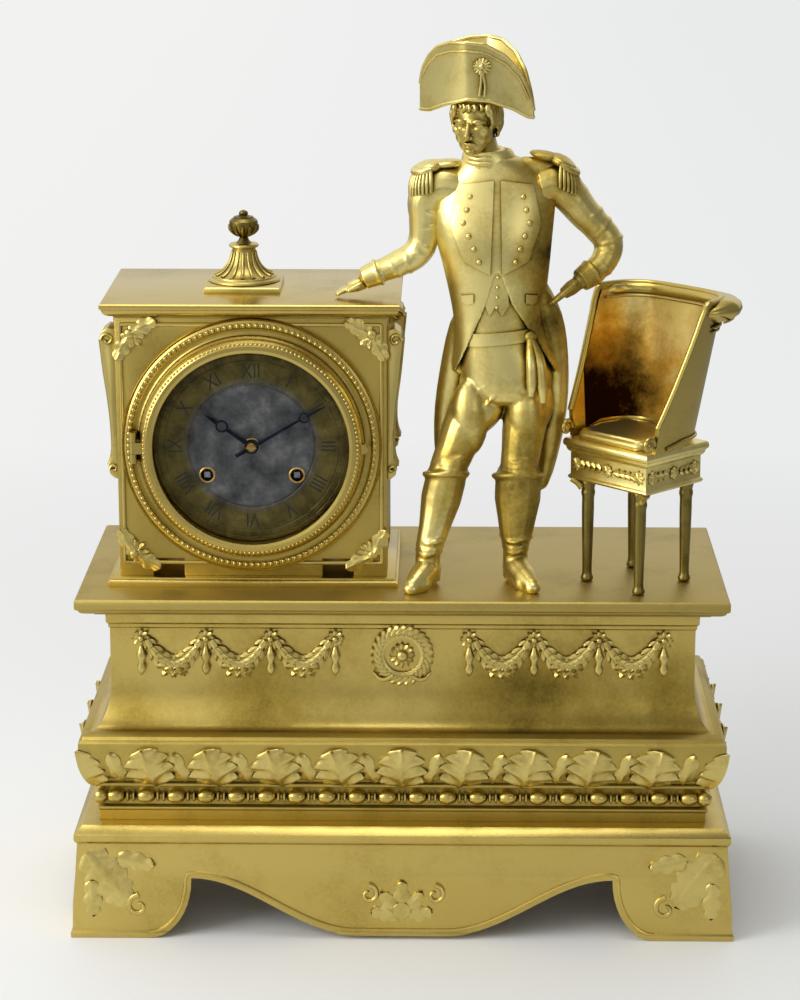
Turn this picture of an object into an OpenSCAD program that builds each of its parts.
// Gilt-bronze mantel clock: a desk-shaped case with the dial, a standing figure and an armchair on a base
// Millimetres, X to the right, Y to the back, Z up, origin at the middle of the floor under the base

/* [Base] */
// Width over the feet
base_w = 300; // [290:1:310]
// Depth over the feet
base_d = 136; // [132:1:140]
// Height of the shaped apron
apron_h = 52; // [50:1:54]
// Height of the arch in the apron, at its highest
arch_h = 28; // [20:1:32]
// Height of the top of the leaf moulding
band_top = 95; // [94:1:96]
// Height of the top of the frieze
frieze_top = 149; // [148:1:150]
// Height of the terrace on which everything stands
deck_z = 158; // [157:1:159]
// Thickness of the cast walls
wall = 3; // [2.5:0.1:3.5]

/* [Desk and dial] */
// Middle of the desk, to the left of the middle of the base
clock_x = -67; // [-69:1:-65]
// Height of the middle of the dial
clock_z = 222.5; // [222:0.5:223]
// Width of the desk case
case_w = 120; // [118:1:122]
// Height of the top of the desk case
case_top = 280; // [279:1:281]
// Front face of the desk case
case_front = -37; // [-37:1:-37]
// Back face of the desk case
case_back = 39; // [39:1:39]
// Radius of the round openings, front and back
opening_r = 46; // [46:0.5:46.5]
// Radius of the dial
dial_r = 43.7; // [43:0.1:43.8]

/* [Movement] */
// Front face of the front plate
plate_front = -27; // [-27:1:-27]
// Back face of the back plate
plate_back = 2.8; // [2.8:0.1:2.8]
// Thickness of the plates
plate_t = 1.8; // [1.8:0.1:1.8]
// Length of the pendulum, from its bend to the middle of the bob
pendulum_l = 104.8; // [100:0.1:105]
// Height of the pendulum's bend above the middle of the dial
pivot_v = 36.6; // [36.6:0.1:36.6]
// Depth at which the pendulum swings
pendulum_y = 15; // [15:0.5:15]

/* [Chair] */
// Middle of the chair, to the right
chair_x = 105; // [103:1:106]
// Middle of the chair, in depth
chair_y = -28; // [-29:1:-26]
// Turn of the chair to the left
chair_turn = 45; // [40:1:48]
// Height of the seat rail's top above the terrace
seat_h = 66; // [60:1:68]
// Height of the back above the terrace
back_h = 131; // [124:1:133]

/* [Hidden] */
$fn = 48;

gilt = "#b09a50";
brass = "#c8a24a";
steel = "#8c9096";

// Extrudes a front-view outline from depth y1 back to depth y2
module along_y(y1, y2) translate([0, y2, 0]) rotate([90, 0, 0]) linear_extrude(y2 - y1) children();
// Extrudes a side-view outline, depth and height, from x1 to x2
module along_x(x1, x2) translate([x1, 0, 0]) rotate([90, 0, 90]) linear_extrude(x2 - x1) children();
// Moves the origin of a front view to a place u, v from the middle of the dial
module at_dial(p) translate([clock_x + p[0], 0, clock_z + p[1]]) children();
// A round rod from depth y1 to y2 at a place on the dial
module rod(p, y1, y2, r) at_dial(p) along_y(y1, y2) circle(r);
// A turned piece about a fore-and-aft axis; the outline is radius and depth
module turned(outline) rotate([90, 0, 0]) rotate_extrude() polygon([for (p = outline) [p[0], -p[1]]]);

// Base

// A box with moulded sides all round, from an outline of inset and height
module moulded(outline, w, d) {
    intersection() {
        along_y(-d, d) polygon(concat([for (p = outline) [w / 2 - p[0], p[1]]],
            [for (i = [len(outline) - 1:-1:0]) [outline[i][0] - w / 2, outline[i][1]]]));
        along_x(-w, w) polygon(concat([for (p = outline) [d / 2 - p[0], p[1]]],
            [for (i = [len(outline) - 1:-1:0]) [outline[i][0] - d / 2, outline[i][1]]]));
    }
}
module inner_box(inset, z1, z2) {
    translate([inset - base_w / 2, inset - base_d / 2, z1])
        cube([base_w - 2 * inset, base_d - 2 * inset, z2 - z1]);
}

foot_w = 36;
side_foot_w = 26;
// The lower edge of the apron: bracket feet, a quick rise, then a long ogee down to a middle lobe
arch_peak_x = 95;
lobe_x = 20;
lobe_z = 1.5;
function ogee(t) = (1 + cos(180 * t)) / 2;
arch_edge = concat(
    [for (a = [0:15:90]) [base_w / 2 - foot_w - (base_w / 2 - foot_w - arch_peak_x) * sin(a),
        arch_h * (1 - cos(a))]],
    [for (t = [0.1:0.1:1]) [arch_peak_x - (arch_peak_x - lobe_x) * t, lobe_z + (arch_h - lobe_z) * ogee(t)]]);
module arch_cut() {
    polygon(concat([[base_w / 2 - foot_w, -1]], arch_edge,
        [for (i = [len(arch_edge) - 1:-1:0]) [-arch_edge[i][0], arch_edge[i][1]]],
        [[foot_w - base_w / 2, -1]]));
}
side_arch_w = base_d - 2 * side_foot_w;
module side_arch_cut() {
    polygon(concat([for (a = [0:15:180]) [side_arch_w / 2 * cos(a), 15 * sin(a)]], [[-side_arch_w / 2, -1],
        [side_arch_w / 2, -1]]));
}
apron_outline = [[0, 0], [0, 4], [2.5, 30], [3.5, 44], [2.5, 46], [2.5, 49], [6, apron_h]];
module plinth_apron() color(gilt) {
    difference() {
        moulded(apron_outline, base_w, base_d);
        inner_box(8, -1, apron_h - 4);
        inner_box(26, apron_h - 5, apron_h + 1);
        along_y(-base_d, base_d) arch_cut();
        along_x(-base_w, base_w) side_arch_cut();
        for (p = rod_places) translate([p[0], p[1], 0]) cylinder(r = rod_r + 0.05, h = apron_h + 1);
    }
}

// Recess, bead, fillet and leaf moulding
band_outline = concat([[13, apron_h], [13, apron_h + 7.5]],
    [for (a = [-75:30:75]) [13.5 - 3.8 * cos(a), apron_h + 11.3 + 3.8 * sin(a)]],
    [[13, apron_h + 15.2], [13, 71]],
    [for (a = [0:15:90]) [13 - 8 * sin(a), 90 - 18 * cos(a)]], [[6.5, 92.5], [10, band_top]]);
module plinth_band() color(gilt) {
    difference() {
        moulded(band_outline, base_w, base_d);
        inner_box(17, apron_h + 3, band_top + 1);
        inner_box(40, apron_h - 1, apron_h + 4);
        for (p = rod_places) translate([p[0], p[1], apron_h - 1]) cylinder(r = rod_r + 0.05, h = 6);
    }
}

// The frieze flares in a hollow curve to the moulding below it
frieze_outline = concat([for (a = [0:15:90]) [10 + 9 * sin(a), 116 - 21 * cos(a)]], [[19, 142], [17, frieze_top]]);
frieze_face = 19 - base_d / 2;
module frieze_case() color(gilt) {
    difference() {
        moulded(frieze_outline, base_w, base_d);
        inner_box(19 + wall, band_top - 1, frieze_top + 1);
    }
}

terrace_outline = concat([[13, frieze_top]], [for (a = [0:22.5:90]) [13 - 7.5 * (1 - cos(a)), frieze_top + 3 * sin(a)]],
    [[5, frieze_top + 3], [5, deck_z - 1], [6, deck_z]]);
rod_r = 2;
rod_places = [for (sx = [-1, 1], sy = [-1, 1]) [sx * 117, sy * 37]];
slot_w = 40;
slot_d = 12;
module pendulum_slot(z1, z2) {
    translate([clock_x - slot_w / 2, pendulum_y - slot_d / 2, z1]) cube([slot_w, slot_d, z2 - z1]);
}
module terrace_plate() color(gilt) {
    difference() {
        moulded(terrace_outline, base_w, base_d);
        pendulum_slot(frieze_top - 1, deck_z + 1);
        for (p = rod_places) translate([p[0], p[1], frieze_top - 1]) cylinder(r = rod_r, h = 6);
        for (s = screws) translate([s[0], s[1], frieze_top - 1]) cylinder(r = s[2] + 0.05, h = 20);
    }
}

// Long rods with nuts hold the terrace, frieze, moulding and apron together
module tie_rods() color(steel) {
    for (p = rod_places) translate([p[0], p[1], 0]) {
        translate([0, 0, apron_h - 12]) cylinder(r = rod_r, h = frieze_top + 5 - apron_h + 12);
        translate([0, 0, apron_h - 8]) difference() {
            cylinder(r = 4, h = 4, $fn = 6);
            translate([0, 0, -1]) cylinder(r = rod_r, h = 6);
        }
    }
}

// Places of the chair's feet, turned with the chair
foot_spread = 15.5;
function on_chair(p) = [chair_x + p[0] * cos(chair_turn) + p[1] * sin(chair_turn),
    chair_y - p[0] * sin(chair_turn) + p[1] * cos(chair_turn)];
leg_feet = [for (sx = [-1, 1], sy = [-1, 1]) on_chair([sx * foot_spread, sy * foot_spread])];

// Screws from below the terrace: place, radius and top, for the desk, the figure and two of the chair's legs;
// the other two legs stand over the frieze's walls
sole_places = [[10, -42.5], [51, -40]];
screws = concat([for (sx = [-1, 1], sy = [-1, 1]) [clock_x + sx * 25, sy * 29, 1.5, 168]],
    [for (p = sole_places) [p[0], p[1], 1.2, deck_z + 5]],
    [for (p = leg_feet) if (p[1] > -44 && p[0] < 125) [p[0], p[1], 0.9, deck_z + 6]]);
module fixing_screws() color(steel) {
    for (s = screws) translate([s[0], s[1], 0]) {
        translate([0, 0, frieze_top - 2]) cylinder(r = s[2], h = s[3] - frieze_top + 2);
        translate([0, 0, frieze_top - 2.5]) cylinder(r = 2.4 * s[2], h = 2.5);
    }
}

// Applied mounts on the apron: a leaf fan in the middle and a scrolled leaf on each foot
module scroll_leaf() {
    difference() {
        union() {
            circle(9);
            translate([-11, -9]) circle(6);
            translate([8, 6]) circle(5);
            polygon([[-13, -14], [9, 1], [12, 8], [4, 12], [-8, 6]]);
        }
        translate([3, -3]) circle(3.4);
    }
}
module plinth_mounts() color(gilt) {
    difference() {
        union() {
            for (s = [-1, 1]) mirror([s < 0 ? 1 : 0, 0, 0])
                along_y(-base_d / 2, -base_d / 2 + 4) translate([121, 24]) scroll_leaf();
            along_y(-base_d / 2, -base_d / 2 + 4) difference() {
                union() {
                    for (a = [-60:30:60]) translate([0, 18]) rotate(a) translate([0, 9]) circle(4.2);
                    translate([0, 17]) circle(7);
                }
                translate([0, 17]) circle(2.5);
            }
        }
        moulded(apron_outline, base_w, base_d);
    }
}

// Frieze relief: laurel swags hung between rosettes, a bud under each rosette and a wreath in the middle
relief_z = 129;
rosette_places = [-117, -88, -59, -30, 30, 59, 88, 117];
module swag(x1, x2, drop) {
    half = (x2 - x1) / 2;
    r = (half * half + drop * drop) / (2 * drop);
    a = asin(half / r);
    translate([(x1 + x2) / 2, frieze_face, relief_z + 6 + r - drop]) rotate([90, 0, 0])
        rotate([0, 0, -90 - a]) rotate_extrude(angle = 2 * a) translate([r, 0]) circle(2, $fn = 16);
}
module frieze_relief() color(gilt) {
    intersection() {
        union() {
            for (i = [0, 1, 2, 4, 5, 6]) swag(rosette_places[i], rosette_places[i + 1], 10);
            for (x = rosette_places) translate([x, frieze_face, relief_z + 7.5]) {
                turned([[0, -2.6], [2, -2.4], [4.2, -1.2], [4.2, 1], [0, 1]]);
                translate([0, 0, -11]) scale([1, 1, 2.4]) turned([[0, -2.4], [1.6, -1.8], [2.2, 0], [2.2, 1], [0, 1]]);
            }
            translate([0, frieze_face, relief_z]) turned([[8.5, 1], [8.5, -2], [10.5, -3.2], [12.5, -2], [12.5, 1]]);
            translate([0, frieze_face, relief_z]) turned([[0, -2.4], [3, -2.2], [5, -1], [5, 1], [0, 1]]);
        }
        translate([-base_w / 2, frieze_face - 8, 116]) cube([base_w, 8, 26]);
    }
}

// Desk

// A box over the desk, reaching out by a given amount on every side
module desk_block(reach, z1, z2) {
    translate([clock_x - case_w / 2 - reach, case_front - reach, z1])
        cube([case_w + 2 * reach, case_back - case_front + 2 * reach, z2 - z1]);
}
desk_z = deck_z + 4;
module desk_screw_holes(z1, z2) {
    for (i = [0:3]) translate([screws[i][0], screws[i][1], z1]) cylinder(r = screws[i][2] + 0.05, h = z2 - z1);
}
module desk_plinth() color(gilt) {
    difference() {
        union() {
            desk_block(5, deck_z, desk_z - 1);
            desk_block(4, desk_z - 1, desk_z);
        }
        pendulum_slot(deck_z - 1, desk_z + 1);
        desk_screw_holes(deck_z - 1, desk_z + 1);
    }
}
case_foot = 8;
case_bottom = desk_z + case_foot;
module desk_case() color(gilt) {
    difference() {
        desk_block(0, desk_z, case_top);
        desk_block(-wall, case_bottom + wall, case_top + 1);
        for (s = [-1, 1]) translate([clock_x + s * 38 - 7, case_front - 1, desk_z - 1])
            cube([14, case_back - case_front + 2, case_foot + 1]);
        translate([clock_x - case_w / 2 - 1, -20, desk_z - 1]) cube([case_w / 2 - 38 + 6, 42, case_foot + 1]);
        translate([clock_x + 33, -20, desk_z - 1]) cube([case_w / 2 - 33 + 1, 42, case_foot + 1]);
        rod([0, 0], case_front - 1, case_front + wall + 1, opening_r);
        rod([0, 0], case_back - wall - 1, case_back + 1, opening_r);
        pendulum_slot(desk_z - 1, case_bottom + wall + 1);
        desk_screw_holes(desk_z - 1, 168);
    }
}
cornice_outline = [[6, case_top], [3.5, case_top + 1], [2, case_top + 3], [0, case_top + 4], [0, case_top + 6.5], [0.5, case_top + 7]];
module desk_cornice() color(gilt) {
    translate([clock_x, (case_front + case_back) / 2, 0]) moulded(cornice_outline, case_w + 12, case_back - case_front + 12);
}

// Scrolled consoles on the sides of the desk, in pairs, front and back
console_t = 14;
module console_outline() {
    difference() {
        union() {
            translate([0.5, 206]) square([3, 68]);
            translate([2, 269]) circle(5);
            translate([1.5, 256]) circle(4.4);
            translate([1, 211]) circle(3.6);
            polygon([[0, 274], [6.6, 270], [6, 256], [3.2, 238], [2.4, 222], [4.4, 211], [0, 207]]);
        }
        translate([-8, 190]) square([8, 100]);
    }
}
module desk_consoles() color(gilt) {
    for (s = [-1, 1], y = [-34, 22]) translate([clock_x, 0, 0]) mirror([s < 0 ? 1 : 0, 0, 0])
        translate([case_w / 2, 0, 0]) along_y(y, y + console_t) console_outline();
}

// Corner mounts between the ring and the corners of the case
module spandrel_mounts() color(gilt) {
    for (sx = [-1, 1], sv = [-1, 1]) at_dial([0, sv < 0 ? 1.5 : 0]) mirror([sx < 0 ? 1 : 0, 0, 0])
        mirror([0, 0, sv < 0 ? 1 : 0]) along_y(case_front - 2.4, case_front) difference() {
            union() {
                intersection() {
                    translate([39, 37]) square([18, 17]);
                    translate([62, 60]) circle(26);
                }
                translate([53, 50]) circle(3.5);
            }
            circle(58.2);
        }
}

// The fixed ring: a moulded flange on the case front and a sleeve that carries the movement
ring_face = -41;
hinge_u = -52.4;
hinge_y = -43;
ring_outline = concat([[44, ring_face], [49.3, ring_face], [50, ring_face + 0.8]],
    [for (a = [180:-30:0]) [52 + 1.8 * cos(a), -39.2 + 1 * sin(a)]],
    [for (a = [0:30:90]) [57 - 2.4 * (1 - sin(a)), -39.4 - 1.2 * cos(a) + 1.2]],
    [[57, case_front], [opening_r, case_front], [opening_r, -14], [44, -14], [44, plate_front],
    [41.5, plate_front], [41.5, plate_front - 2.2], [44, plate_front - 2.2]]);
module drum_ring() color(gilt) {
    difference() {
        union() {
            at_dial([0, 0]) turned(ring_outline);
            for (v = [-7, 2.7]) translate([clock_x + hinge_u, 0, clock_z + v]) {
                translate([0, hinge_y, 0]) cylinder(r = 1.7, h = 4.3);
                translate([-1.7, hinge_y, 0]) cube([3.4, 4, 4.3]);
            }
        }
        translate([clock_x + hinge_u, hinge_y, clock_z - 8]) cylinder(r = 0.7, h = 16);
    }
}

// Bezel: the hinged ring that holds the glass
bezel_back = ring_face - 0.15;
bezel_outline = [[43.6, -46], [45, -46.4], [46.6, -46.3], [48.2, -45.2], [49, -44], [49, bezel_back],
    [44.9, bezel_back], [44.9, -44.3], [43.6, -44.3]];
module bezel() color(gilt) {
    difference() {
        union() {
            at_dial([0, 0]) turned(bezel_outline);
            translate([clock_x + hinge_u, hinge_y, clock_z - 2.55]) cylinder(r = 1.7, h = 5.1);
            translate([clock_x + hinge_u, hinge_y - 1.6, clock_z - 2.55]) cube([6, 3.2, 5.1]);
            at_dial([49.4, 0]) along_y(-44.6, bezel_back) circle(2.2);
        }
        translate([clock_x + hinge_u, hinge_y, clock_z - 8]) cylinder(r = 0.76, h = 16);
    }
}
// The glass is a shallow dome with a flat edge
dome_r = 190;
dome_rim = 43.3;
function dome_y(r, apex, radius) = apex + radius - sqrt(radius * radius - r * r);
module bezel_glass() color("#dfe8ea", 0.35) at_dial([0, 0]) turned(concat(
    [for (i = [0:8]) let (r = dome_rim * i / 8) [r, dome_y(r, -49.2, dome_r)]],
    [[44.9, -44.3], [44.9, -43.1]],
    [for (i = [8:-1:0]) let (r = (dome_rim - 0.6) * i / 8) [r, dome_y(r, -48, dome_r)]]));
module hinge_pins() color(steel) {
    translate([clock_x + hinge_u, hinge_y, clock_z - 7]) cylinder(r = 0.7, h = 14);
    translate([clock_x + door_hinge_u, door_hinge_y, clock_z - 7]) cylinder(r = 0.7, h = 14);
}

// Dial with four feet that pass through the front plate
dial_y = -38.4;
module dial() color("#4a4a4c") {
    difference() {
        union() {
            rod([0, 0], dial_y, dial_y + 1, dial_r);
            for (a = [40, 140, 215, 325]) rod(39.5 * [cos(a), sin(a)], dial_y + 0.5, plate_front + plate_t, 1);
        }
        rod([0, 0], dial_y - 1, dial_y + 2, 2.9);
        for (p = [going_p, strike_p]) rod(p, dial_y - 1, dial_y + 2, 2.9);
    }
}

// Hands: a hub, a slender blade and a moon-shaped loop
module hand_shape(y1, y2, hub, l, w, loop_at, loop_r) {
    difference() {
        union() {
            along_y(y1, y2) circle(hub);
            along_y(y1, y2) polygon([[-w / 2, 0], [-w / 3, loop_at], [0, l], [w / 3, loop_at], [w / 2, 0]]);
            along_y(y1, y2) translate([0, loop_at]) circle(loop_r);
        }
        along_y(y1 - 1, y2 + 1) translate([0, loop_at]) circle(loop_r * 0.6);
    }
}
hour_angle = 305;
minute_angle = 60;
module hour_hand() color("#2b2620") at_dial([0, 0]) rotate([0, hour_angle, 0]) difference() {
    hand_shape(-40.2, -39.6, 3.6, 25, 2.2, 16, 2.8);
    along_y(-41, -39) circle(hour_pipe_r);
}
module minute_hand() color("#2b2620") at_dial([0, 0]) difference() {
    rotate([0, minute_angle, 0]) {
        hand_shape(-41.7, -41.1, 2.8, 38, 1.8, 27, 2.4);
        along_y(-41.7, -41.1) translate([-0.6, -8]) square([1.2, 8]);
    }
    along_y(-42, -41) square(2.04, center = true);
}
module hand_collet() color(brass) {
    at_dial([0, 0]) turned([[0.81, -42.5], [1.6, -42.5], [2.2, -41.7], [0.81, -41.7]]);
    at_dial([0, 0]) translate([-2.4, -42.8, 0]) rotate([0, 90, 0]) cylinder(r = 0.28, h = 4.8);
}

// Movement

// Middle plane and places of the arbors, from the middle of the dial
going_p = [20, -13.3];
strike_p = [-20, -13.3];
centre_p = [0, 0];
escape_p = [0, 24];
barrel_m = 0.42;
second_m = 0.34;
centre_m = 0.28;
lock_m = 0.22;
warn_m = 0.2;
// The point at distance r1 from a and r2 from b, to the left of the way from a to b when side is 1
function meet(a, r1, b, r2, side) =
    let (e = b - a, d = norm(e), t = (r1 * r1 - r2 * r2 + d * d) / (2 * d), h = side * sqrt(r1 * r1 - t * t))
    a + e * t / d + h * [-e[1], e[0]] / d;
function polar(a, r, angle) = a + r * [cos(angle), sin(angle)];
function aim(a, b) = atan2(b[1] - a[1], b[0] - a[0]);
second_p = meet(centre_p, second_m * 81 / 2, going_p, barrel_m * 90 / 2, 1);
strike_second_p = [-second_p[0], second_p[1]];
third_p = meet(centre_p, centre_m * 91 / 2, escape_p, centre_m * 84 / 2, -1);
pin_p = strike_second_p + [0, second_m * 80 / 2];
lock_p = polar(pin_p, centre_m * 88 / 2, 150);
warn_p = polar(lock_p, lock_m * 63 / 2, 60);
fly_p = polar(warn_p, warn_m * 54 / 2 + 0.06, 20);
motion_p = [-9.6, 0];
hammer_p = [-27, 12];
anchor_p = [0, pivot_v];
pillar_places = [for (a = [8, 55, 160, 270]) 37 * [cos(a), sin(a)]];

// One toothed outline: count, module, tooth height above and below the pitch circle in modules, widths at
// the root and the tip as a share of the pitch, and the angle of the first tooth
function toothed(n, m, above, below, root, tip, first) = [for (i = [0:n - 1])
    for (c = [[-root, -below], [-tip, above], [tip, above], [root, -below]])
        let (a = first + (i + c[0] / 2) * 360 / n, r = (n / 2 + c[1]) * m) [r * cos(a), r * sin(a)]];
function wheel_teeth(n, m, first) = toothed(n, m, 0.9, 1.2, 0.58, 0.2, first);
function pinion_leaves(n, m, first) = toothed(n, m, 0.8, 1.2, 0.46, 0.24, first);

// A spoked wheel whose tooth points at its mate
module wheel(p, n, m, y, t, towards, arms, rim_w = 3.4) {
    rim = (n / 2 - rim_w) * m;
    hub = max(2.2, rim * 0.26);
    at_dial(p) along_y(y, y + t) difference() {
        polygon(wheel_teeth(n, m, towards));
        for (k = [0:arms - 1]) let (w = 360 / arms, g = 1.1)
            polygon(concat([for (s = [0:3]) let (a = k * w + asin(g / rim) + s * (w - 2 * asin(g / rim)) / 3)
                rim * [cos(a), sin(a)]],
                [for (s = [1:-1:0]) let (a = k * w + asin(g / hub) + s * (w - 2 * asin(g / hub))) hub * [cos(a), sin(a)]]));
    }
}
// A pinion with a gap facing its mate
module pinion(p, n, m, y, t, towards) at_dial(p) along_y(y, y + t)
    polygon(pinion_leaves(n, m, towards + 180 / n));
inner_front = plate_front + plate_t;
inner_back = plate_back - plate_t;
pivot_r = 0.5;
// An arbor between the plates, with thin pivots that run in them
module arbor(p, r) {
    rod(p, inner_front + 0.1, inner_back - 0.1, r);
    rod(p, plate_front + 0.1, plate_back - 0.1, pivot_r);
}

// Plates
pivot_places = [second_p, strike_second_p, third_p, escape_p, pin_p, lock_p, warn_p, fly_p, hammer_p];
module plate(y, r) {
    difference() {
        rod([0, 0], y, y + plate_t, r);
        for (p = pivot_places) rod(p, y - 1, y + 3, pivot_r + 0.04);
        for (p = [going_p, strike_p]) rod(p, y - 1, y + 3, winding_r + 0.05);
        rod(anchor_p, y - 1, y + 3, 0.54);
        rod(centre_p, y - 1, y + 3, centre_r + 0.05);
        children();
    }
}
// Front plate with its pillars riveted in and the stud of the minute wheel
module front_plate() color(brass) {
    difference() {
        union() {
            plate(plate_front, 43.9);
            for (p = pillar_places) {
                rod(p, plate_front + 0.5, inner_back, 2.1);
                rod(p, inner_back - 0.5, plate_back + 2.4, 1.2);
            }
            rod(motion_p, -32.4, plate_front + 0.5, 0.8);
        }
        for (a = [40, 140, 215, 325]) rod(39.5 * [cos(a), sin(a)], plate_front - 1, inner_front + 1, 1.05);
        for (p = pillar_places) rod_pin_hole(p);
    }
}
module rod_pin_hole(p) at_dial(p) translate([-3, plate_back + 0.9, 0]) rotate([0, 90, 0]) cylinder(r = 0.42, h = 6);
module pillar_pins() color(steel) {
    for (p = pillar_places) at_dial(p) translate([-3, plate_back + 0.9, 0]) rotate([0, 90, 0]) cylinder(r = 0.4, h = 6);
}
module back_plate() color(brass) {
    plate(inner_back, 42) {
        for (p = pillar_places) rod(p, inner_back - 1, plate_back + 1, 1.25);
        rod(strike_second_p, inner_back - 1, plate_back + 1, count_r + 0.05);
        rod(anchor_p, inner_back - 1, plate_back + 1, 1.4);
    }
}

// Motion work: cannon pinion, minute wheel and hour wheel
centre_r = 0.85;
cannon_r = 1.6;
hour_pipe_r = 2.3;
module cannon_pinion() color(steel) {
    difference() {
        union() {
            rod(centre_p, -41.05, plate_front - 0.3, cannon_r);
            pinion(centre_p, 12, 0.4, -29.6, 1.6, aim(centre_p, motion_p));
            at_dial(centre_p) along_y(-41.7, -41) square(2, center = true);
        }
        rod(centre_p, -43, plate_front, centre_r);
    }
}
module minute_wheel() color(brass) {
    difference() {
        union() {
            wheel(motion_p, 36, 0.4, -29.5, 1.2, aim(motion_p, centre_p), 4);
            pinion(motion_p, 10, 0.384, -31.7, 2.3, aim(motion_p, centre_p));
        }
        rod(motion_p, -33, plate_front, 0.85);
    }
}
module hour_wheel() color(brass) {
    difference() {
        union() {
            wheel(centre_p, 40, 0.384, -31.6, 1.4, aim(centre_p, motion_p), 4);
            rod(centre_p, -40.2, -30.2, hour_pipe_r);
        }
        rod(centre_p, -42, -29, cannon_r + 0.05);
    }
}

// Going train
winding_r = 1.9;
drum_y = -21;
drum_l = 14;
module barrel(p, mate) {
    difference() {
        union() {
            rod(p, drum_y, drum_y + drum_l, 14.8);
            at_dial(p) along_y(drum_y + drum_l, drum_y + drum_l + 1.6) polygon(wheel_teeth(80, barrel_m, aim(p, mate)));
        }
        rod(p, drum_y - 1, drum_y + drum_l + 3, winding_r + 0.05);
    }
}
module winding_arbor(p) {
    rod(p, -31, plate_back - 0.1, winding_r);
    at_dial(p) along_y(-38.2, -30.9) square(2.6, center = true);
    at_dial(p) along_y(-24.4, -23.2) polygon(toothed(24, 0.4, 0.4, 0.8, 0.9, 0.1, 0));
}
module going_barrel() color(brass) barrel(going_p, second_p);
module going_arbor() color(steel) winding_arbor(going_p);
module second_wheel() color(brass) {
    arbor(second_p, 0.9);
    pinion(second_p, 10, barrel_m, -7.4, 2.4, aim(second_p, going_p));
    wheel(second_p, 72, second_m, -4.6, 1.2, aim(second_p, centre_p), 5);
}
module centre_wheel() color(brass) {
    difference() {
        rod(centre_p, -43.6, plate_back - 0.1, centre_r - 0.05);
        at_dial([0, 0]) translate([-2.4, -42.8, 0]) rotate([0, 90, 0]) cylinder(r = 0.28, h = 4.8);
    }
    pinion(centre_p, 9, second_m, -4.9, 1.8, aim(centre_p, second_p));
    wheel(centre_p, 84, centre_m, -24, 1.2, aim(centre_p, third_p), 5);
}
module third_wheel() color(brass) {
    arbor(third_p, 0.55);
    pinion(third_p, 7, centre_m, -24.3, 1.8, aim(third_p, centre_p));
    wheel(third_p, 77, centre_m, -14, 1.1, aim(third_p, escape_p), 5);
}
escape_teeth = 42;
escape_r = 8.9;
module escape_wheel() color(brass) {
    arbor(escape_p, 0.6);
    pinion(escape_p, 7, centre_m, -14.4, 1.8, aim(escape_p, third_p));
    at_dial(escape_p) along_y(-3, -2) difference() {
        polygon([for (i = [0:escape_teeth - 1], c = [[0, -0.9], [0.34, -0.9], [0.62, 0], [0.7, 0]])
            (escape_r + c[1]) * [cos((i + c[0]) * 360 / escape_teeth), sin((i + c[0]) * 360 / escape_teeth)]]);
        for (k = [0:3]) rotate(k * 90 + 45) translate([4.6, 0]) circle(1.9, $fn = 12);
    }
}

// Anchor with its arbor, crutch and the pin that drives the pendulum
pallet_half = 3.5 * 360 / escape_teeth;
pallet_gap = 0.5;
module anchor() color(steel) {
    rod(anchor_p, plate_front + 0.1, 11.4, 0.5);
    rod(anchor_p, -5, -0.4, 1.3);
    at_dial([0, 0]) along_y(-3.1, -1.9) {
        for (s = [-1, 1]) {
            tip = escape_p + (escape_r + pallet_gap) * [s * sin(pallet_half), cos(pallet_half)];
            polygon([anchor_p + [-s * 1, 1.2], anchor_p + [s * 3, 0.8], tip + [s * 2.4, 1.8], tip + [s * 1.1, -0.1],
                tip + [-s * 0.1, 0.1], tip + [s * 0.4, 1.8], anchor_p + [s * 1.6, -1.3], anchor_p + [-s * 1, -1.2]]);
        }
        translate(anchor_p) circle(1.9);
    }
    rod(anchor_p, 7.6, 9.4, 1.7);
    at_dial(anchor_p) along_y(8, 9) polygon([[-1, 0], [1, 0], [0.7, -24], [-0.7, -24]]);
    rod(anchor_p - [0, 23], 8, 17.6, 0.6);
}
// The cock carries the back pivot of the anchor and the top of the pendulum's spring
cock_y1 = 10;
module suspension_cock() color(brass) {
    difference() {
        union() {
            for (u = [-7, 7]) rod([u, 32], plate_back, cock_y1 + 1.8, 1.8);
            at_dial([0, 0]) along_y(cock_y1, cock_y1 + 1.8) polygon([[-9, 30], [9, 30], [9, 34], [4, 44], [-4, 44], [-9, 34]]);
            at_dial([0, 0]) along_y(cock_y1 + 1, pendulum_y + 2.5) translate([-3, pivot_v + 1.6]) square([6, 5]);
        }
        rod(anchor_p, cock_y1 - 1, cock_y1 + 3, 0.54);
        at_dial([0, 0]) along_y(pendulum_y - 2.4, pendulum_y + 3) translate([-0.55, pivot_v]) square([1.1, 5]);
    }
}
module suspension_spring() color(steel) {
    at_dial([0, 0]) {
        along_y(pendulum_y - 2, pendulum_y + 2) translate([-0.15, pivot_v - 7]) square([0.3, 9]);
        along_y(pendulum_y - 2, pendulum_y + 2) translate([-0.9, pivot_v - 9.5]) square([1.8, 3.5]);
    }
}
bob_v = pivot_v - pendulum_l;
module pendulum_rod() color(steel) {
    at_dial([0, 0]) difference() {
        union() {
            translate([0, pendulum_y, bob_v - 15.5]) cylinder(r = 0.8, h = pivot_v - 9.5 - bob_v + 15.5);
            along_y(pendulum_y - 1.2, pendulum_y + 1.2) translate([-2, pivot_v - 27]) square([4, 8]);
        }
        along_y(pendulum_y - 3, pendulum_y + 3) translate([-0.65, pivot_v - 25]) square([1.3, 4]);
    }
}
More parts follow.
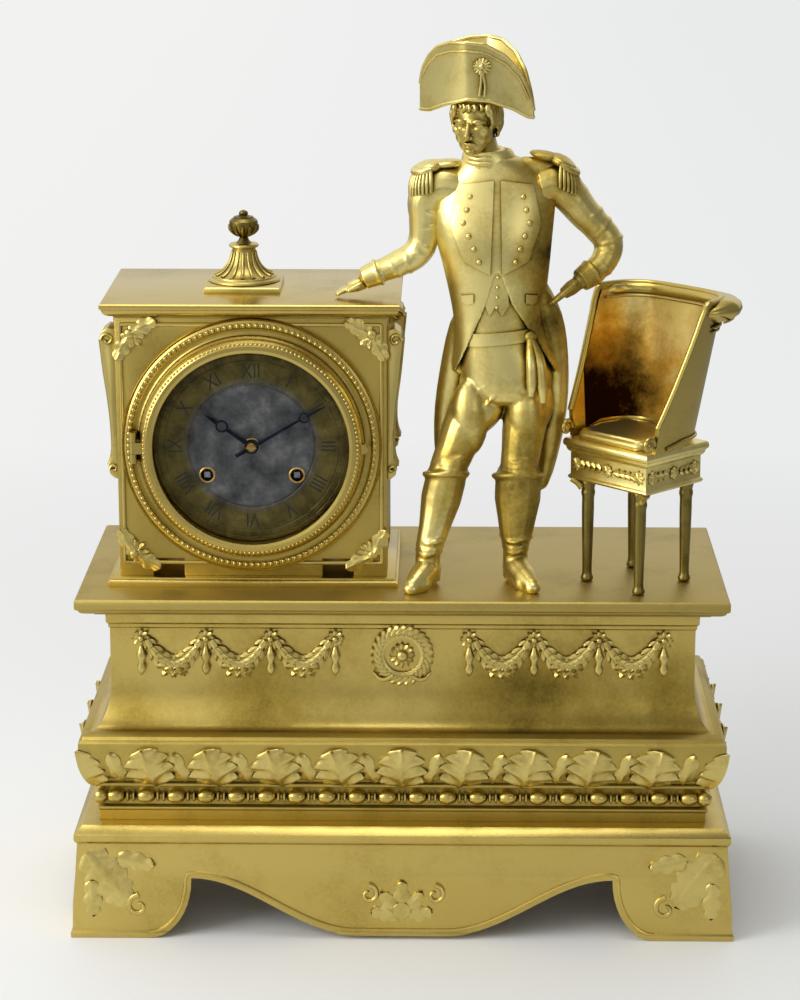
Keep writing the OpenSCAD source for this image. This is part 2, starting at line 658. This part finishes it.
// Lens-shaped bob on the rod, with its rating nut below
module pendulum_bob() color(brass) {
    difference() {
        at_dial([0, bob_v]) turned(concat([[0, pendulum_y - 3.4]],
            [for (a = [-75:15:0]) [13 * cos(a), pendulum_y - 1.2 + 2.2 * sin(a)]],
            [for (a = [0:15:75]) [13 * cos(a), pendulum_y + 1.2 + 2.2 * sin(a)]], [[0, pendulum_y + 3.4]]));
        at_dial([0, bob_v - 16]) translate([0, pendulum_y, 0]) cylinder(r = 0.8, h = 32);
    }
    at_dial([0, bob_v - 15]) translate([0, pendulum_y, 0]) difference() {
        cylinder(r = 2.6, h = 2);
        translate([0, 0, -1]) cylinder(r = 0.8, h = 4);
    }
}

// Strike train, from the barrel to the fly, with the count wheel behind the back plate
count_r = 1.1;
module strike_barrel() color(brass) barrel(strike_p, strike_second_p);
module strike_arbor() color(steel) winding_arbor(strike_p);
module strike_second_wheel() color(brass) {
    arbor(strike_second_p, 0.9);
    rod(strike_second_p, inner_back - 0.1, plate_back + 3, count_r);
    pinion(strike_second_p, 10, barrel_m, -7.4, 2.4, aim(strike_second_p, strike_p));
    wheel(strike_second_p, 72, second_m, -2.6, 1.1, aim(strike_second_p, pin_p), 5);
    at_dial(strike_second_p) along_y(plate_back + 1.2, plate_back + 2.4) difference() {
        circle(11);
        for (k = [1:12]) rotate(-4 * (k * k + k)) translate([10.2, -0.5]) square([2, 1]);
        for (k = [0:3]) rotate(k * 90 + 45) translate([5.6, 0]) circle(2.3);
    }
}
module pin_wheel() color(brass) {
    arbor(pin_p, 0.6);
    pinion(pin_p, 8, second_m, -2.9, 1.8, aim(pin_p, strike_second_p));
    wheel(pin_p, 80, centre_m, -19, 1.1, aim(pin_p, lock_p), 5, 6);
    for (k = [0:9]) rod(polar(pin_p, 10.1, k * 36 + 12), -18.5, -15.8, 0.32);
}
module locking_wheel() color(brass) {
    arbor(lock_p, 0.5);
    pinion(lock_p, 8, centre_m, -19.4, 1.8, aim(lock_p, pin_p));
    wheel(lock_p, 56, lock_m, -12, 1, aim(lock_p, warn_p), 4);
}
module warning_wheel() color(brass) {
    arbor(warn_p, 0.45);
    pinion(warn_p, 7, lock_m, -12.3, 1.6, aim(warn_p, lock_p));
    wheel(warn_p, 48, warn_m, -22.5, 1, aim(warn_p, fly_p), 4);
}
module fly() color(brass) {
    arbor(fly_p, 0.3);
    pinion(fly_p, 6, warn_m, -22.8, 1.6, aim(fly_p, warn_p));
    at_dial(fly_p) along_y(-14, -4) square([8, 0.5], center = true);
    rod(fly_p, -14, -4, 0.8);
}

// Hammer on its own arbor, with a tail by the pins and its stem behind the back plate
hammer_head = [-16.1, 25.2];
bell_p = [0, -2];
bell_r = 28;
module hammer() color(steel) {
    arbor(hammer_p, 0.6);
    at_dial(hammer_p) along_y(-17.6, -16.2) polygon([[-0.6, -0.6], [3.2, 0.1], [3.2, 0.9], [0, 0.9]]);
    rod(hammer_p, plate_back - 0.3, 8, 0.5);
    rod(hammer_p, 5, 7.6, 1.8);
    at_dial([0, 0]) along_y(5.6, 7) polygon([hammer_p + [-0.8, 0.6], hammer_p + [0.8, -0.6],
        hammer_head + [0.7, -0.7], hammer_head + [-0.7, 0.7]]);
    rod(hammer_head, 5, 21, 0.9);
    rod(hammer_head, 21, 26, 3);
}
// Cup bell, open to the front, and its stand
stand_p = [27, -20];
stand_r = 1.6;
bell_outline = concat([for (a = [0:15:90]) [bell_r * pow(cos(a), 0.7) + (a == 90 ? stand_r + 0.1 : 0), 20 + 14 * sin(a)]],
    [for (a = [90:-15:0]) [(bell_r - 1.3) * pow(cos(a), 0.7) + (a == 90 ? stand_r + 0.1 : 0), 20 + 12.7 * sin(a)]]);
module bell() color("#a9a9a0") at_dial(bell_p) turned(bell_outline);
module bell_stand() color(steel) {
    rod(stand_p, plate_back, 19, stand_r);
    at_dial([0, 0]) along_y(17.4, 19) polygon([stand_p + [1, 1.4], stand_p + [-1, -1.4], bell_p + [-1, -1.4], bell_p + [1, 1.4]]);
    rod(bell_p, 17.4, 35.4, stand_r);
    rod(bell_p, 34.05, 35.4, 3);
    rod(bell_p, 30, 32.5, 3);
}

// Back ring with two straps that reach forward to the drum, and the back door
door_hinge_u = 50.4;
door_hinge_y = 43.9;
module back_ring() color(gilt) {
    difference() {
        union() {
            at_dial([0, 0]) turned([[44, 30], [opening_r, 30], [opening_r, case_back], [53, case_back],
                [53, case_back + 1.4], [50, case_back + 3], [44, case_back + 3]]);
            for (v = [-7, 2.7]) translate([clock_x + door_hinge_u, 0, clock_z + v]) {
                translate([0, door_hinge_y, 0]) cylinder(r = 1.7, h = 4.3);
                translate([-1.7, door_hinge_y - 4, 0]) cube([3.4, 4, 4.3]);
            }
            for (a = [-8, 172]) at_dial([0, 0]) translate([0, case_back - 1, 0]) rotate([90, 0, 0]) rotate([0, 0, a])
                rotate_extrude(angle = 16) translate([42.8, 0]) square([1.2, case_back - 1 + 25]);
        }
        translate([clock_x + door_hinge_u, door_hinge_y, clock_z - 8]) cylinder(r = 0.7, h = 16);
    }
}
module back_door() color(gilt) {
    difference() {
        union() {
            at_dial([0, 0]) turned([[0, case_back + 3.2], [47, case_back + 3.2], [47, case_back + 4],
                [45, case_back + 4.6], [38, case_back + 4.2], [0, case_back + 4.2]]);
            translate([clock_x + door_hinge_u, door_hinge_y, clock_z - 2.55]) cylinder(r = 1.7, h = 5.1);
            translate([clock_x + 44, door_hinge_y - 1.4, clock_z - 2.55]) cube([door_hinge_u - 44, 1.7, 5.1]);
            rod([-40, 0], case_back + 3.8, case_back + 7, 2.4);
        }
        translate([clock_x + door_hinge_u, door_hinge_y, clock_z - 8]) cylinder(r = 0.76, h = 16);
    }
}

// Inkstand on the desk
ink_p = [clock_x - 5, 0];
cornice_top = case_top + 7;
module inkstand_base() color(gilt) translate([ink_p[0], ink_p[1], cornice_top]) {
    translate([-17, -17, 0]) cube([34, 34, 3]);
    rotate_extrude() polygon(concat([[0, 2], [16, 2], [16, 4]], [for (a = [0:15:90]) [16 - 10.5 * sin(a), 18 - 13 * cos(a) + 0],],
        [[6.5, 19], [6.5, 20], [0, 20]]));
}
module inkstand_finial() color("#6e5c20") translate([ink_p[0], ink_p[1], cornice_top + 20])
    rotate_extrude() polygon([[0, 0], [3.6, 0], [2, 2.2], [2.2, 3.4], [5.4, 5.6], [6.6, 8.4], [6, 10.6], [4, 11.6],
        [2, 12.2], [2.4, 13.4], [1.6, 14.6], [0, 15]]);

// Figure

// A soft form through rings: each row is x, y, z of the middle, half-width and half-depth
function unit(v) = v / norm(v);
function ring_points(path, i, n, side) =
    let (q = path[i], a = path[max(i - 1, 0)], b = path[min(i + 1, len(path) - 1)],
        t = unit([b[0] - a[0], b[1] - a[1], b[2] - a[2]]),
        v = unit(side - (side * t) * t), u = cross(v, t))
    [for (k = [0:n - 1]) [q[0], q[1], q[2]] + u * q[3] * cos(360 * k / n) + v * q[4] * sin(360 * k / n)];
module form(path, n = 14, side = [0, 1, 0]) {
    last = len(path) - 1;
    polyhedron([for (i = [0:last]) each ring_points(path, i, n, side)],
        concat([[for (k = [0:n - 1]) k]], [[for (k = [n - 1:-1:0]) last * n + k]],
        [for (i = [0:last - 1], k = [0:n - 1], h = [0, 1])
            let (a = i * n + k, b = i * n + (k + 1) % n) h == 0 ? [a, a + n, b] : [b, a + n, b + n]]));
}
module ball(p, r) translate(p) sphere(r, $fn = r > 3 ? 14 : 8);
module bar(p, r1, q, r2) hull() {
    ball(p, r1);
    ball(q, r2);
}
fy = -25;
right_seam = 12.5;
left_seam = 69.5;
collar_z = 345;
module torso() {
    form([[46.5, fy + 1, 238, 15.6, 12], [46.5, fy + 1, 246, 21.4, 14.6], [46.3, fy + 1, 254, 22.4, 15.2],
        [44.8, fy, 266, 20.8, 14.2], [42.8, fy, 278, 20.4, 13.2], [41.8, fy - 0.6, 290, 21.8, 13.6],
        [41, fy - 1.2, 304, 24, 15.2], [39.6, fy - 1.2, 316, 26.2, 15.6], [39.6, fy - 0.6, 327, 27.2, 14.2],
        [40.6, fy, 335, 26.4, 12.4], [41.4, fy, 341, 22.5, 11], [40, fy, 347, 15, 10], [37.5, fy, 352, 10, 9]], 20);
    bar([28, fy, 334], 8, [12, fy, 336], 8.8);
    bar([57, fy, 336], 8.6, [72, fy, 338], 8.8);
}
module leg(hip, knee, ankle, width) {
    form([[hip[0], hip[1], hip[2] + 4, 9, 9], [hip[0], hip[1], hip[2] - 6, 11.4, 12.4],
        concat(hip * 0.6 + knee * 0.4, [10.4, 11.2]), concat(hip * 0.2 + knee * 0.8, [9.4, 9.2]),
        concat(knee, [9, 8.8]), concat(knee * 0.86 + ankle * 0.14, [9.8 * width, 9.6]),
        concat(knee * 0.65 + ankle * 0.35 + [0, 1.2, 0], [9.4 * width, 9.8]),
        concat(knee * 0.35 + ankle * 0.65, [7.6 * width, 7.8]), concat(ankle, [6, 6.4]),
        [ankle[0], ankle[1], deck_z + 2, 6, 6.6], [ankle[0], ankle[1], deck_z, 6, 6.6]], 14);
}
// A boot's foot, toe turned out, cut flat on the terrace
module foot(ankle, toe) intersection() {
    union() {
        hull() {
            ball([ankle[0], ankle[1] + 1, deck_z + 4], 6);
            ball([ankle[0] * 0.45 + toe[0] * 0.55, ankle[1] * 0.45 + toe[1] * 0.55, deck_z + 3.4], 5.4);
        }
        hull() {
            ball([ankle[0] * 0.45 + toe[0] * 0.55, ankle[1] * 0.45 + toe[1] * 0.55, deck_z + 3.2], 5.4);
            ball([toe[0], toe[1], deck_z + 2], 4);
        }
    }
    translate([-60, -120, deck_z]) cube([200, 200, 60]);
}
right_hip = [34.5, fy + 1, 246];
right_knee = [20.6, -31, 212];
right_ankle = [11.5, -36, 173];
left_hip = [56.5, fy + 1, 246];
left_knee = [51.8, -31, 211];
left_ankle = [50.6, -31, 173];
// The tails hang behind the thighs and leave the gap between the legs open
module coat_tails() {
    form([[65, fy + 2, 287, 6, 8], [68.6, fy + 3, 280, 7.8, 9], [67.6, fy + 4, 268, 6.6, 9], [67.4, fy + 5, 258, 6.4, 9],
        [68.4, fy + 7, 246, 6.6, 9], [67.6, fy + 9, 232, 6.6, 8.4], [65, fy + 10, 216, 6.2, 7.6],
        [62.6, fy + 11, 203, 5.6, 6.5], [61, fy + 11, 193, 3.5, 4.5]], 12);
    form([[54, fy + 9, 282, 11, 4], [57.5, fy + 11, 266, 11, 5], [60, fy + 13, 246, 10, 5.5], [60.5, fy + 14, 226, 9, 5.5],
        [60, fy + 14, 208, 8, 5], [59.5, fy + 13, 194, 6.5, 3.5]], 12);
    form([[28, fy + 4, 278, 5, 7], [25.2, fy + 7, 264, 7, 7.5], [23.5, fy + 10, 250, 8, 7], [21.8, fy + 11, 238, 8.4, 6],
        [20.6, fy + 11.5, 226, 7.6, 5.4], [19.6, fy + 11, 214, 6, 4.6], [18.6, fy + 10, 205, 4, 3.4]], 12);
}
module figure_body() color(gilt) {
    difference() {
        union() {
            torso();
            leg(right_hip, right_knee, right_ankle, 1);
            leg(left_hip, left_knee, left_ankle, 1.14);
            foot(right_ankle, [4, -50]);
            foot(left_ankle, [58, -48]);
            coat_tails();
            for (b = [0:6]) ball([41 + 0.4 * b, fy - 13.2 + 0.12 * b * b, 322 - 7 * b], 1.1);
            bar([27, fy - 9, 330], 3.2, [30, fy - 12.4, 296], 2.2);
            bar([57, fy - 9, 330], 3.2, [53, fy - 12.4, 296], 2.2);
            bar([30, fy - 12.4, 296], 2.4, [26, fy - 8, 276], 2.6);
            bar([53, fy - 12.4, 296], 2.4, [63, fy - 7, 274], 2.8);
            bar([27, fy + 2, 340], 4, [32, fy - 7, 343], 3.6);
            bar([48, fy + 2, 340], 4, [43, fy - 7, 343], 3.6);
            bar([27, fy + 4, 341], 4, [48, fy + 4, 341], 4);
            bar([13.5, fy, 340.5], 5.2, [28, fy, 343.5], 4.4);
            bar([67, fy, 344.5], 6.2, [54, fy, 347.4], 5);
        }
        translate([right_seam - 40, fy - 30, 300]) cube([40, 60, 60]);
        translate([left_seam, fy - 30, 290]) cube([40, 60, 70]);
        translate([24, fy - 30, collar_z]) cube([27, 60, 20]);
        translate([-30, -90, deck_z - 20]) cube([150, 150, 20]);
        for (p = sole_places) translate([p[0], p[1], deck_z - 1]) cylinder(r = 1.25, h = 6.2, $fn = 24);
    }
}
head_p = [32, fy - 3, 365];
head_turn = -20;
module head_at() translate(head_p) rotate([0, 0, head_turn]) children();
module figure_head() color(gilt) {
    intersection() {
        union() {
            form([[36, fy, 343, 8.2, 8], [35.4, fy - 0.6, 349, 7.2, 7.2], [34, fy - 1.5, 356, 7.4, 8]], 14);
            head_at() {
                form([[0.4, -3.4, -12.6, 3, 3], [0.4, -2.8, -11, 5.4, 6.4], [0.2, -1.6, -6.4, 7.8, 9.6],
                    [0, -0.6, -1, 9.2, 11.2], [0, 0, 4, 10, 12], [0, 0.6, 9, 9.6, 11.8], [0, 1, 13, 7.4, 9.4],
                    [0, 1, 15.6, 3, 4]], 16);
                bar([0, -10.6, 3], 1.2, [0, -13, -2.6], 1.5);
                bar([-3.4, -9.8, -5.8], 1, [3.4, -9.8, -5.8], 1);
                bar([-0.4, -7.4, -10.4], 2.4, [0.4, -7.4, -10.4], 2.4);
                for (s = [-1, 1]) {
                    bar([s * 2.6, -10.6, 3.6], 1, [s * 6.4, -8.4, 3.2], 1);
                    bar([s * 9.4, -1, 2], 1.4, [s * 8.6, -1.6, -3.4], 1.2);
                    for (k = [0:3]) bar([s * 9.2, 2.6 * k - 1.5, 8 - k], 2, [s * 9, 2.4 * k - 1, 2 - 2.4 * k], 2.1);
                }
                for (k = [-2:2]) bar([3.6 * k, 9.4 - 0.5 * k * k, 6], 2.4, [3.2 * k, 8.6 - 0.5 * k * k, -6], 2.2);
            }
        }
        translate([0, fy - 40, collar_z]) cube([90, 80, hat_seat_z - collar_z]);
    }
}
// Two-cornered hat worn across the head: a crown between two upright flaps that meet at the corners.
// Each flap is two flat halves with a ridge in the middle; the viewer's right corner hangs lower
hat_seat_z = 375;
hat_mid = 13.5;
hat_angle = 28;
hat_left = [[0, 377], [-13, 374], [-27, 369], [-29.2, 371], [-29, 382], [-26, 391], [-20, 397], [-10, 401], [0, 402]];
hat_right = [[0, 377], [9, 376], [18, 373], [28, 367.5], [29.6, 369], [27.5, 380], [22, 390], [13, 398], [0, 402]];
module hat_flap(face) {
    for (h = [0, 1]) translate([0, face * hat_mid, 0]) rotate([0, 0, face * (h == 0 ? 1 : -1) * hat_angle])
        along_y(-1.3, 1.3) polygon(h == 0 ? hat_left : hat_right);
    translate([0, face * hat_mid, 377]) cylinder(r = 1.3, h = 25, $fn = 16);
}
module figure_hat() color(gilt) {
    difference() {
        translate([head_p[0], head_p[1], 0]) rotate([0, 0, head_turn]) {
            hat_flap(-1);
            hat_flap(1);
            translate([0, 0, 375]) scale([1, 1.1, 1]) cylinder(r1 = 12, r2 = 8, h = 17, $fn = 24);
            translate([0, -hat_mid, 379]) rotate([0, 0, hat_angle]) translate([7, -1.4, 0]) {
                bar([-1.6, 0, 1], 1, [0.6, 0, 14], 1);
                translate([0.6, 0, 13]) turned([[0, -1.2], [2.6, -1], [3.4, 0], [3.4, 1], [0, 1]]);
            }
        }
        head_at() translate([0, 0, -40]) cylinder(r = 14.4, h = 50, $fn = 24);
    }
}

// Hands: a palm and five fingers from the wrist along a direction
module hand(wrist, along, across, size) {
    palm = wrist + along * 6 * size;
    bar(wrist, 3.2 * size, palm, 3 * size);
    for (k = [-1.5:1:1.5]) {
        root = palm + across * 1.9 * k * size;
        bar(wrist + across * k * size, 2.4 * size, root, 1.9 * size);
        bar(root, 1.5 * size, root + along * (7 - 0.7 * abs(k)) * size, 1.1 * size);
    }
    bar(wrist + across * 2.4 * size, 1.7 * size, palm + across * 4.6 * size, 1.2 * size);
}
module figure_right_arm() color(gilt) {
    intersection() {
        union() {
            form([[24, fy, 338, 9.2, 8.4], [15, fy, 338.4, 9.2, 8.6], [10, fy + 0.5, 332, 8.6, 8], [9.6, fy + 1, 323, 7.4, 7.4],
                [9, fy + 1.5, 313, 6.8, 6.8], [6.4, fy + 2, 306.6, 6.2, 6.4], [-1, fy + 2, 302, 5.6, 5.8],
                [-9, fy + 2, 298.6, 4.8, 5], [-16, fy + 2, 295.6, 4.4, 4.6], [-18, fy + 2, 294.8, 5, 5]], 14);
            translate([0, 0, 0.4]) hand([-18, fy + 2, 292.6], unit([-1, 0, -0.16]), [0, -1, 0], 0.95);
            form([[24, fy, 344, 5.4, 7.6], [13, fy, 343.4, 5.6, 8.4], [7, fy, 340, 5, 7.8], [3.6, fy, 334, 2.8, 6]], 12);
        }
        translate([-60, fy - 40, cornice_top]) cube([60 + right_seam, 80, 80]);
    }
}
module figure_left_arm() color(gilt) {
    intersection() {
        union() {
            form([[62, fy, 339, 9.2, 8.4], [67, fy, 340, 9.4, 8.6], [72.4, fy + 0.5, 334.5, 8.4, 8], [79, fy + 2, 325.5, 7.4, 7.4],
                [85.8, fy + 4, 318.4, 6.6, 6.6], [90.6, fy + 4, 311.5, 6.4, 6.4], [89.4, fy + 2, 304.6, 6, 6],
                [84.8, fy - 1, 299.8, 5.6, 5.6], [80, fy - 3.4, 296.8, 5.2, 5.2], [78.4, fy - 4.2, 295.8, 5.6, 5.6]], 14);
            hand([77.6, fy - 4.8, 294.6], unit([-0.5, -0.3, -0.8]), unit([-0.2, 0.9, -0.3]), 0.95);
            form([[60, fy, 346, 5.4, 7.6], [68.5, fy, 345.6, 5.8, 8.4], [74.4, fy, 340.4, 4.8, 7.6], [78, fy, 333.4, 2.8, 6]], 12);
        }
        translate([left_seam, fy - 40, 280]) cube([60, 80, 80]);
    }
}

// Armchair with a hollow back, turned towards the figure
module chair_at() translate([chair_x, chair_y, deck_z]) rotate([0, 0, -chair_turn]) children();
seat_w = 48;
seat_d = 40;
seat_front = -21.5;
rail_h = 19;
module chair_leg(s) {
    form([for (row = [[0, 2.6], [3, 3], [12, 2.3], [30, 2.8], [seat_h - rail_h + 1, 3.2]])
        [foot_spread * s[0], foot_spread * s[1], row[0], row[1], row[1]]], 10);
}
module chair_frame() color(gilt) chair_at() {
    difference() {
        union() {
            for (sx = [-1, 1], sy = [-1, 1]) chair_leg([sx, sy]);
            translate([-seat_w / 2, seat_front, seat_h - rail_h]) cube([seat_w, seat_d, rail_h - 3]);
            translate([-seat_w / 2 - 1, seat_front - 1, seat_h - 3]) cube([seat_w + 2, seat_d + 2, 3]);
            for (s = [-1, 1]) hull() {
                translate([s * 18.6, seat_front + 4.4, seat_h - rail_h - 4]) sphere(2, $fn = 12);
                translate([s * 20.5, seat_front + 2.6, seat_h - rail_h]) sphere(2.4, $fn = 12);
            }
        }
        for (sx = [-1, 1], sy = [-1, 1]) translate([sx * foot_spread, sy * foot_spread, -1]) cylinder(r = 1, h = 7.2, $fn = 16);
    }
}
// The back: a thin wall on a horseshoe plan that leans outwards as it rises, cut to a sweeping top edge,
// with a crest rail along its high part
back_steps = 32;
rail_t = 10;
lean = [1.35, 1.25];
sweep_front = -21;
sweep_back = 7;
function horseshoe(t, out) = let (a = 180 * t)
    [-(23 + out) * pow(abs(cos(a)), 0.52) * sign(cos(a) + 0.0001), -20 + (36.6 + out) * pow(sin(a), 0.52)];
function top_edge(y) = seat_h + 6 + (back_h - seat_h - 6) * pow(min(1, (y - sweep_front) / (sweep_back - sweep_front)), 1.2);
module leaning_wall(inner, outer) translate([0, -30, seat_h])
    linear_extrude(back_h - seat_h, scale = lean, slices = 1) translate([0, 30]) polygon(concat(
        [for (i = [0:back_steps]) horseshoe(i / back_steps, outer)], [for (i = [back_steps:-1:0]) horseshoe(i / back_steps, inner)]));
module chair_back() color(gilt) chair_at() {
    intersection() {
        leaning_wall(0, 2.4);
        along_x(-60, 60) polygon(concat([[60, seat_h - 1], [sweep_front, seat_h - 1]],
            [for (y = [sweep_front:2:sweep_back]) [y, top_edge(y)]], [[60, back_h]]));
    }
    intersection() {
        leaning_wall(-0.8, 8.2);
        along_x(-60, 60) polygon([[60, back_h + 1], [60, back_h - rail_t], [9, back_h - rail_t], [6, back_h - 5], [5, back_h + 1]]);
    }
}
module chair_seat() color("#8a6208") chair_at() intersection() {
    form([[0, -1, seat_h - 1, 22, 19], [0, -1, seat_h + 1.5, 22.4, 19.4], [0, -1, seat_h + 4, 20, 17],
        [0, -1, seat_h + 5.4, 14, 12]], 24);
    translate([-40, -20.5, seat_h]) cube([80, 34, 20]);
    translate([0, 0, seat_h - 2]) linear_extrude(20) polygon([[-19, -30], [19, -30], [19, 6], [12, 14], [-12, 14], [-19, 6]]);
}

plinth_apron();
plinth_band();
plinth_mounts();
frieze_case();
frieze_relief();
terrace_plate();
tie_rods();
fixing_screws();
desk_plinth();
desk_case();
desk_cornice();
desk_consoles();
spandrel_mounts();
drum_ring();
inkstand_base();
inkstand_finial();
figure_body();
figure_head();
figure_hat();
figure_right_arm();
figure_left_arm();
chair_frame();
chair_back();
chair_seat();
bezel();
bezel_glass();
hinge_pins();
dial();
minute_hand();
hour_hand();
hand_collet();
front_plate();
back_plate();
pillar_pins();
back_ring();
back_door();
going_barrel();
going_arbor();
second_wheel();
centre_wheel();
cannon_pinion();
minute_wheel();
hour_wheel();
third_wheel();
escape_wheel();
anchor();
suspension_cock();
suspension_spring();
pendulum_rod();
pendulum_bob();
strike_barrel();
strike_arbor();
strike_second_wheel();
pin_wheel();
locking_wheel();
warning_wheel();
fly();
hammer();
bell();
bell_stand();
